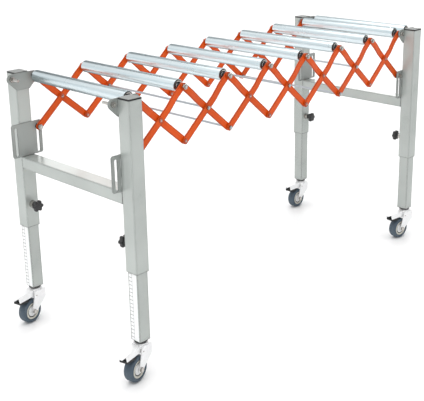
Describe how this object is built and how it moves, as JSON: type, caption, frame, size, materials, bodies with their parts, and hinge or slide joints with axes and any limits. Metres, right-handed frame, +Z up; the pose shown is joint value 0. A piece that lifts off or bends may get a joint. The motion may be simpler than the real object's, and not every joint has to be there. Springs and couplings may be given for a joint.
{
  "type": "roller support table",
  "caption": "Extending roller table: two wheeled frames on telescopic legs, joined by a scissor lattice that carries the rollers.",
  "frame": {"origin": "on the floor, at the middle of the table's length and midway between the front and rear posts", "axes": "+X along the table from the left frame to the right frame, +Y along the rollers from front to rear, +Z up"},
  "size_m": [1.3476, 0.5063, 0.7175],
  "materials": {
    "frame_paint": "glossy light grey paint on steel tube",
    "bracket_paint": "glossy light grey paint on steel plate",
    "link_paint": "glossy orange paint on flat steel bar",
    "cap_plastic": "moulded dark grey",
    "knob_plastic": "moulded black",
    "zinc_hardware": "bright zinc plated",
    "roller_zinc": "bright zinc plated tube",
    "castor_zinc": "bright zinc plated pressing",
    "tyre_rubber": "soft blue-grey tread"
  },
  "bodies": {
    "left_frame": {"left_frame": "frame_paint", "left_post_caps": "cap_plastic", "left_roller_brackets": "bracket_paint", "left_slot_brackets": "bracket_paint", "left_axle_hardware": "zinc_hardware"},
    "right_frame": {"right_frame": "frame_paint", "right_post_caps": "cap_plastic", "right_roller_brackets": "bracket_paint", "right_slot_brackets": "bracket_paint", "right_axle_hardware": "zinc_hardware"},
    "down_link_1": {"down_link_1": "link_paint"},
    "up_link_1": {"up_link_1": "link_paint", "pivot_hardware_1": "zinc_hardware"},
    "down_link_2": {"down_link_2": "link_paint"},
    "up_link_2": {"up_link_2": "link_paint", "pivot_hardware_2": "zinc_hardware"},
    "down_link_3": {"down_link_3": "link_paint"},
    "up_link_3": {"up_link_3": "link_paint", "pivot_hardware_3": "zinc_hardware"},
    "down_link_4": {"down_link_4": "link_paint"},
    "up_link_4": {"up_link_4": "link_paint", "pivot_hardware_4": "zinc_hardware"},
    "down_link_5": {"down_link_5": "link_paint"},
    "up_link_5": {"up_link_5": "link_paint", "pivot_hardware_5": "zinc_hardware"},
    "down_link_6": {"down_link_6": "link_paint"},
    "up_link_6": {"up_link_6": "link_paint", "pivot_hardware_6": "zinc_hardware"},
    "down_link_7": {"down_link_7": "link_paint", "slot_pins_right": "zinc_hardware"},
    "up_link_7": {"up_link_7": "link_paint"},
    "roller_1": {"roller_1": "roller_zinc"},
    "roller_2": {"roller_2": "roller_zinc"},
    "roller_3": {"roller_3": "roller_zinc"},
    "roller_4": {"roller_4": "roller_zinc"},
    "roller_5": {"roller_5": "roller_zinc"},
    "roller_6": {"roller_6": "roller_zinc"},
    "roller_7": {"roller_7": "roller_zinc"},
    "roller_8": {"roller_8": "roller_zinc"},
    "roller_9": {"roller_9": "roller_zinc"},
    "leg_front_left": {"leg_front_left": "frame_paint"},
    "clamp_knob_front_left": {"clamp_knob_front_left": "knob_plastic"},
    "castor_fork_front_left": {"castor_fork_front_left": "castor_zinc"},
    "castor_wheel_front_left": {"castor_wheel_front_left": "tyre_rubber"},
    "castor_brake_front_left": {"castor_brake_front_left": "castor_zinc"},
    "leg_rear_left": {"leg_rear_left": "frame_paint"},
    "clamp_knob_rear_left": {"clamp_knob_rear_left": "knob_plastic"},
    "castor_fork_rear_left": {"castor_fork_rear_left": "castor_zinc"},
    "castor_wheel_rear_left": {"castor_wheel_rear_left": "tyre_rubber"},
    "castor_brake_rear_left": {"castor_brake_rear_left": "castor_zinc"},
    "leg_front_right": {"leg_front_right": "frame_paint"},
    "clamp_knob_front_right": {"clamp_knob_front_right": "knob_plastic"},
    "castor_fork_front_right": {"castor_fork_front_right": "castor_zinc"},
    "castor_wheel_front_right": {"castor_wheel_front_right": "tyre_rubber"},
    "castor_brake_front_right": {"castor_brake_front_right": "castor_zinc"},
    "leg_rear_right": {"leg_rear_right": "frame_paint"},
    "clamp_knob_rear_right": {"clamp_knob_rear_right": "knob_plastic"},
    "castor_fork_rear_right": {"castor_fork_rear_right": "castor_zinc"},
    "castor_wheel_rear_right": {"castor_wheel_rear_right": "tyre_rubber"},
    "castor_brake_rear_right": {"castor_brake_rear_right": "castor_zinc"}
  },
  "joints": [
    {"name": "lattice_fold", "type": "hinge", "parent": "left_frame", "child": "down_link_1", "pos_m": [-0.5445, 0, 0.7015], "axis": [0, 1, 0], "range_deg": [-1.25, 33.04]},
    {"name": "middle_pivot_1", "type": "hinge", "parent": "down_link_1", "child": "up_link_1", "pos_m": [-0.4635, 0, 0.63197], "axis": [0, 1, 0], "range_deg": [-66.1, 2.52]},
    {"name": "foot_pivot_1", "type": "hinge", "parent": "down_link_1", "child": "up_link_2", "pos_m": [-0.3825, 0, 0.56244], "axis": [0, 1, 0], "range_deg": [-66.1, 2.52]},
    {"name": "middle_pivot_2", "type": "hinge", "parent": "up_link_2", "child": "down_link_2", "pos_m": [-0.3015, 0, 0.63197], "axis": [0, 1, 0], "range_deg": [-2.52, 66.1]},
    {"name": "top_pivot_3", "type": "hinge", "parent": "up_link_2", "child": "down_link_3", "pos_m": [-0.2205, 0, 0.7015], "axis": [0, 1, 0], "range_deg": [-2.52, 66.1]},
    {"name": "middle_pivot_3", "type": "hinge", "parent": "down_link_3", "child": "up_link_3", "pos_m": [-0.1395, 0, 0.63197], "axis": [0, 1, 0], "range_deg": [-66.1, 2.52]},
    {"name": "foot_pivot_3", "type": "hinge", "parent": "down_link_3", "child": "up_link_4", "pos_m": [-0.0585, 0, 0.56244], "axis": [0, 1, 0], "range_deg": [-66.1, 2.52]},
    {"name": "middle_pivot_4", "type": "hinge", "parent": "up_link_4", "child": "down_link_4", "pos_m": [0.0225, 0, 0.63197], "axis": [0, 1, 0], "range_deg": [-2.52, 66.1]},
    {"name": "top_pivot_5", "type": "hinge", "parent": "up_link_4", "child": "down_link_5", "pos_m": [0.1035, 0, 0.7015], "axis": [0, 1, 0], "range_deg": [-2.52, 66.1]},
    {"name": "middle_pivot_5", "type": "hinge", "parent": "down_link_5", "child": "up_link_5", "pos_m": [0.1845, 0, 0.63197], "axis": [0, 1, 0], "range_deg": [-66.1, 2.52]},
    {"name": "foot_pivot_5", "type": "hinge", "parent": "down_link_5", "child": "up_link_6", "pos_m": [0.2655, 0, 0.56244], "axis": [0, 1, 0], "range_deg": [-66.1, 2.52]},
    {"name": "middle_pivot_6", "type": "hinge", "parent": "up_link_6", "child": "down_link_6", "pos_m": [0.3465, 0, 0.63197], "axis": [0, 1, 0], "range_deg": [-2.52, 66.1]},
    {"name": "top_pivot_7", "type": "hinge", "parent": "up_link_6", "child": "down_link_7", "pos_m": [0.4275, 0, 0.7015], "axis": [0, 1, 0], "range_deg": [-2.52, 66.1]},
    {"name": "middle_pivot_7", "type": "hinge", "parent": "down_link_7", "child": "up_link_7", "pos_m": [0.5085, 0, 0.63197], "axis": [0, 1, 0], "range_deg": [-66.1, 2.52]},
    {"name": "top_pivot_8", "type": "hinge", "parent": "up_link_7", "child": "right_frame", "pos_m": [0.5895, 0, 0.7015], "axis": [0, 1, 0], "range_deg": [-1.27, 33.06]},
    {"name": "roller_1_spin", "type": "hinge", "parent": "left_frame", "child": "roller_1", "pos_m": [-0.5445, 0, 0.7015], "axis": [0, 1, 0], "continuous": true},
    {"name": "roller_2_spin", "type": "hinge", "parent": "up_link_1", "child": "roller_2", "pos_m": [-0.3825, 0, 0.7015], "axis": [0, 1, 0], "continuous": true},
    {"name": "roller_3_spin", "type": "hinge", "parent": "up_link_2", "child": "roller_3", "pos_m": [-0.2205, 0, 0.7015], "axis": [0, 1, 0], "continuous": true},
    {"name": "roller_4_spin", "type": "hinge", "parent": "up_link_3", "child": "roller_4", "pos_m": [-0.0585, 0, 0.7015], "axis": [0, 1, 0], "continuous": true},
    {"name": "roller_5_spin", "type": "hinge", "parent": "up_link_4", "child": "roller_5", "pos_m": [0.1035, 0, 0.7015], "axis": [0, 1, 0], "continuous": true},
    {"name": "roller_6_spin", "type": "hinge", "parent": "up_link_5", "child": "roller_6", "pos_m": [0.2655, 0, 0.7015], "axis": [0, 1, 0], "continuous": true},
    {"name": "roller_7_spin", "type": "hinge", "parent": "up_link_6", "child": "roller_7", "pos_m": [0.4275, 0, 0.7015], "axis": [0, 1, 0], "continuous": true},
    {"name": "roller_8_spin", "type": "hinge", "parent": "right_frame", "child": "roller_8", "pos_m": [0.5895, 0, 0.7015], "axis": [0, 1, 0], "continuous": true},
    {"name": "roller_9_spin", "type": "hinge", "parent": "right_frame", "child": "roller_9", "pos_m": [0.6575, 0, 0.7015], "axis": [0, 1, 0], "continuous": true},
    {"name": "leg_slide_front_left", "type": "slide", "parent": "left_frame", "child": "leg_front_left", "axis": [0, 0, 1], "range_m": [-0.15, 0.16]},
    {"name": "clamp_turn_front_left", "type": "hinge", "parent": "left_frame", "child": "clamp_knob_front_left", "pos_m": [-0.5785, -0.205, 0.349], "axis": [0, 1, 0], "range_deg": [0, 360]},
    {"name": "castor_swivel_front_left", "type": "hinge", "parent": "leg_front_left", "child": "castor_fork_front_left", "pos_m": [-0.5785, -0.225, 0.0918], "axis": [0, 0, 1], "continuous": true},
    {"name": "castor_roll_front_left", "type": "hinge", "parent": "castor_fork_front_left", "child": "castor_wheel_front_left", "pos_m": [-0.60539, -0.23121, 0.034], "axis": [-0.225, 0.9744, 0], "continuous": true},
    {"name": "brake_press_front_left", "type": "hinge", "parent": "castor_fork_front_left", "child": "castor_brake_front_left", "pos_m": [-0.59312, -0.22837, 0.078], "axis": [0.225, -0.9744, 0], "range_deg": [0, 5]},
    {"name": "leg_slide_rear_left", "type": "slide", "parent": "left_frame", "child": "leg_rear_left", "axis": [0, 0, 1], "range_m": [-0.15, 0.16]},
    {"name": "clamp_turn_rear_left", "type": "hinge", "parent": "left_frame", "child": "clamp_knob_rear_left", "pos_m": [-0.5785, 0.205, 0.349], "axis": [0, -1, 0], "range_deg": [0, 360]},
    {"name": "castor_swivel_rear_left", "type": "hinge", "parent": "leg_rear_left", "child": "castor_fork_rear_left", "pos_m": [-0.5785, 0.225, 0.0918], "axis": [0, 0, 1], "continuous": true},
    {"name": "castor_roll_rear_left", "type": "hinge", "parent": "castor_fork_rear_left", "child": "castor_wheel_rear_left", "pos_m": [-0.6055, 0.21926, 0.034], "axis": [-0.2079, 0.9781, 0], "continuous": true},
    {"name": "brake_press_rear_left", "type": "hinge", "parent": "castor_fork_rear_left", "child": "castor_brake_rear_left", "pos_m": [-0.59317, 0.22188, 0.078], "axis": [0.2079, -0.9781, 0], "range_deg": [0, 5]},
    {"name": "leg_slide_front_right", "type": "slide", "parent": "right_frame", "child": "leg_front_right", "axis": [0, 0, 1], "range_m": [-0.15, 0.16]},
    {"name": "clamp_turn_front_right", "type": "hinge", "parent": "right_frame", "child": "clamp_knob_front_right", "pos_m": [0.6235, -0.205, 0.349], "axis": [0, 1, 0], "range_deg": [0, 360]},
    {"name": "castor_swivel_front_right", "type": "hinge", "parent": "leg_front_right", "child": "castor_fork_front_right", "pos_m": [0.6235, -0.225, 0.0918], "axis": [0, 0, 1], "continuous": true},
    {"name": "castor_roll_front_right", "type": "hinge", "parent": "castor_fork_front_right", "child": "castor_wheel_front_right", "pos_m": [0.59617, -0.22116, 0.034], "axis": [0.1392, 0.9903, 0], "continuous": true},
    {"name": "brake_press_front_right", "type": "hinge", "parent": "castor_fork_front_right", "child": "castor_brake_front_right", "pos_m": [0.60865, -0.22291, 0.078], "axis": [-0.1392, -0.9903, 0], "range_deg": [0, 5]},
    {"name": "leg_slide_rear_right", "type": "slide", "parent": "right_frame", "child": "leg_rear_right", "axis": [0, 0, 1], "range_m": [-0.15, 0.16]},
    {"name": "clamp_turn_rear_right", "type": "hinge", "parent": "right_frame", "child": "clamp_knob_rear_right", "pos_m": [0.6235, 0.205, 0.349], "axis": [0, -1, 0], "range_deg": [0, 360]},
    {"name": "castor_swivel_rear_right", "type": "hinge", "parent": "leg_rear_right", "child": "castor_fork_rear_right", "pos_m": [0.6235, 0.225, 0.0918], "axis": [0, 0, 1], "continuous": true},
    {"name": "castor_roll_rear_right", "type": "hinge", "parent": "castor_fork_rear_right", "child": "castor_wheel_rear_right", "pos_m": [0.5959, 0.225, 0.034], "axis": [0, 1, 0], "continuous": true},
    {"name": "brake_press_rear_right", "type": "hinge", "parent": "castor_fork_rear_right", "child": "castor_brake_rear_right", "pos_m": [0.6085, 0.225, 0.078], "axis": [0, -1, 0], "range_deg": [0, 5]}
  ],
  "couplings": [
    {"joint": "middle_pivot_1", "follows": "lattice_fold", "ratio": -2},
    {"joint": "foot_pivot_1", "follows": "lattice_fold", "ratio": -2},
    {"joint": "middle_pivot_2", "follows": "lattice_fold", "ratio": 2},
    {"joint": "top_pivot_3", "follows": "lattice_fold", "ratio": 2},
    {"joint": "middle_pivot_3", "follows": "lattice_fold", "ratio": -2},
    {"joint": "foot_pivot_3", "follows": "lattice_fold", "ratio": -2},
    {"joint": "middle_pivot_4", "follows": "lattice_fold", "ratio": 2},
    {"joint": "top_pivot_5", "follows": "lattice_fold", "ratio": 2},
    {"joint": "middle_pivot_5", "follows": "lattice_fold", "ratio": -2},
    {"joint": "foot_pivot_5", "follows": "lattice_fold", "ratio": -2},
    {"joint": "middle_pivot_6", "follows": "lattice_fold", "ratio": 2},
    {"joint": "top_pivot_7", "follows": "lattice_fold", "ratio": 2},
    {"joint": "middle_pivot_7", "follows": "lattice_fold", "ratio": -2},
    {"joint": "top_pivot_8", "follows": "lattice_fold", "ratio": 1}
  ]
}
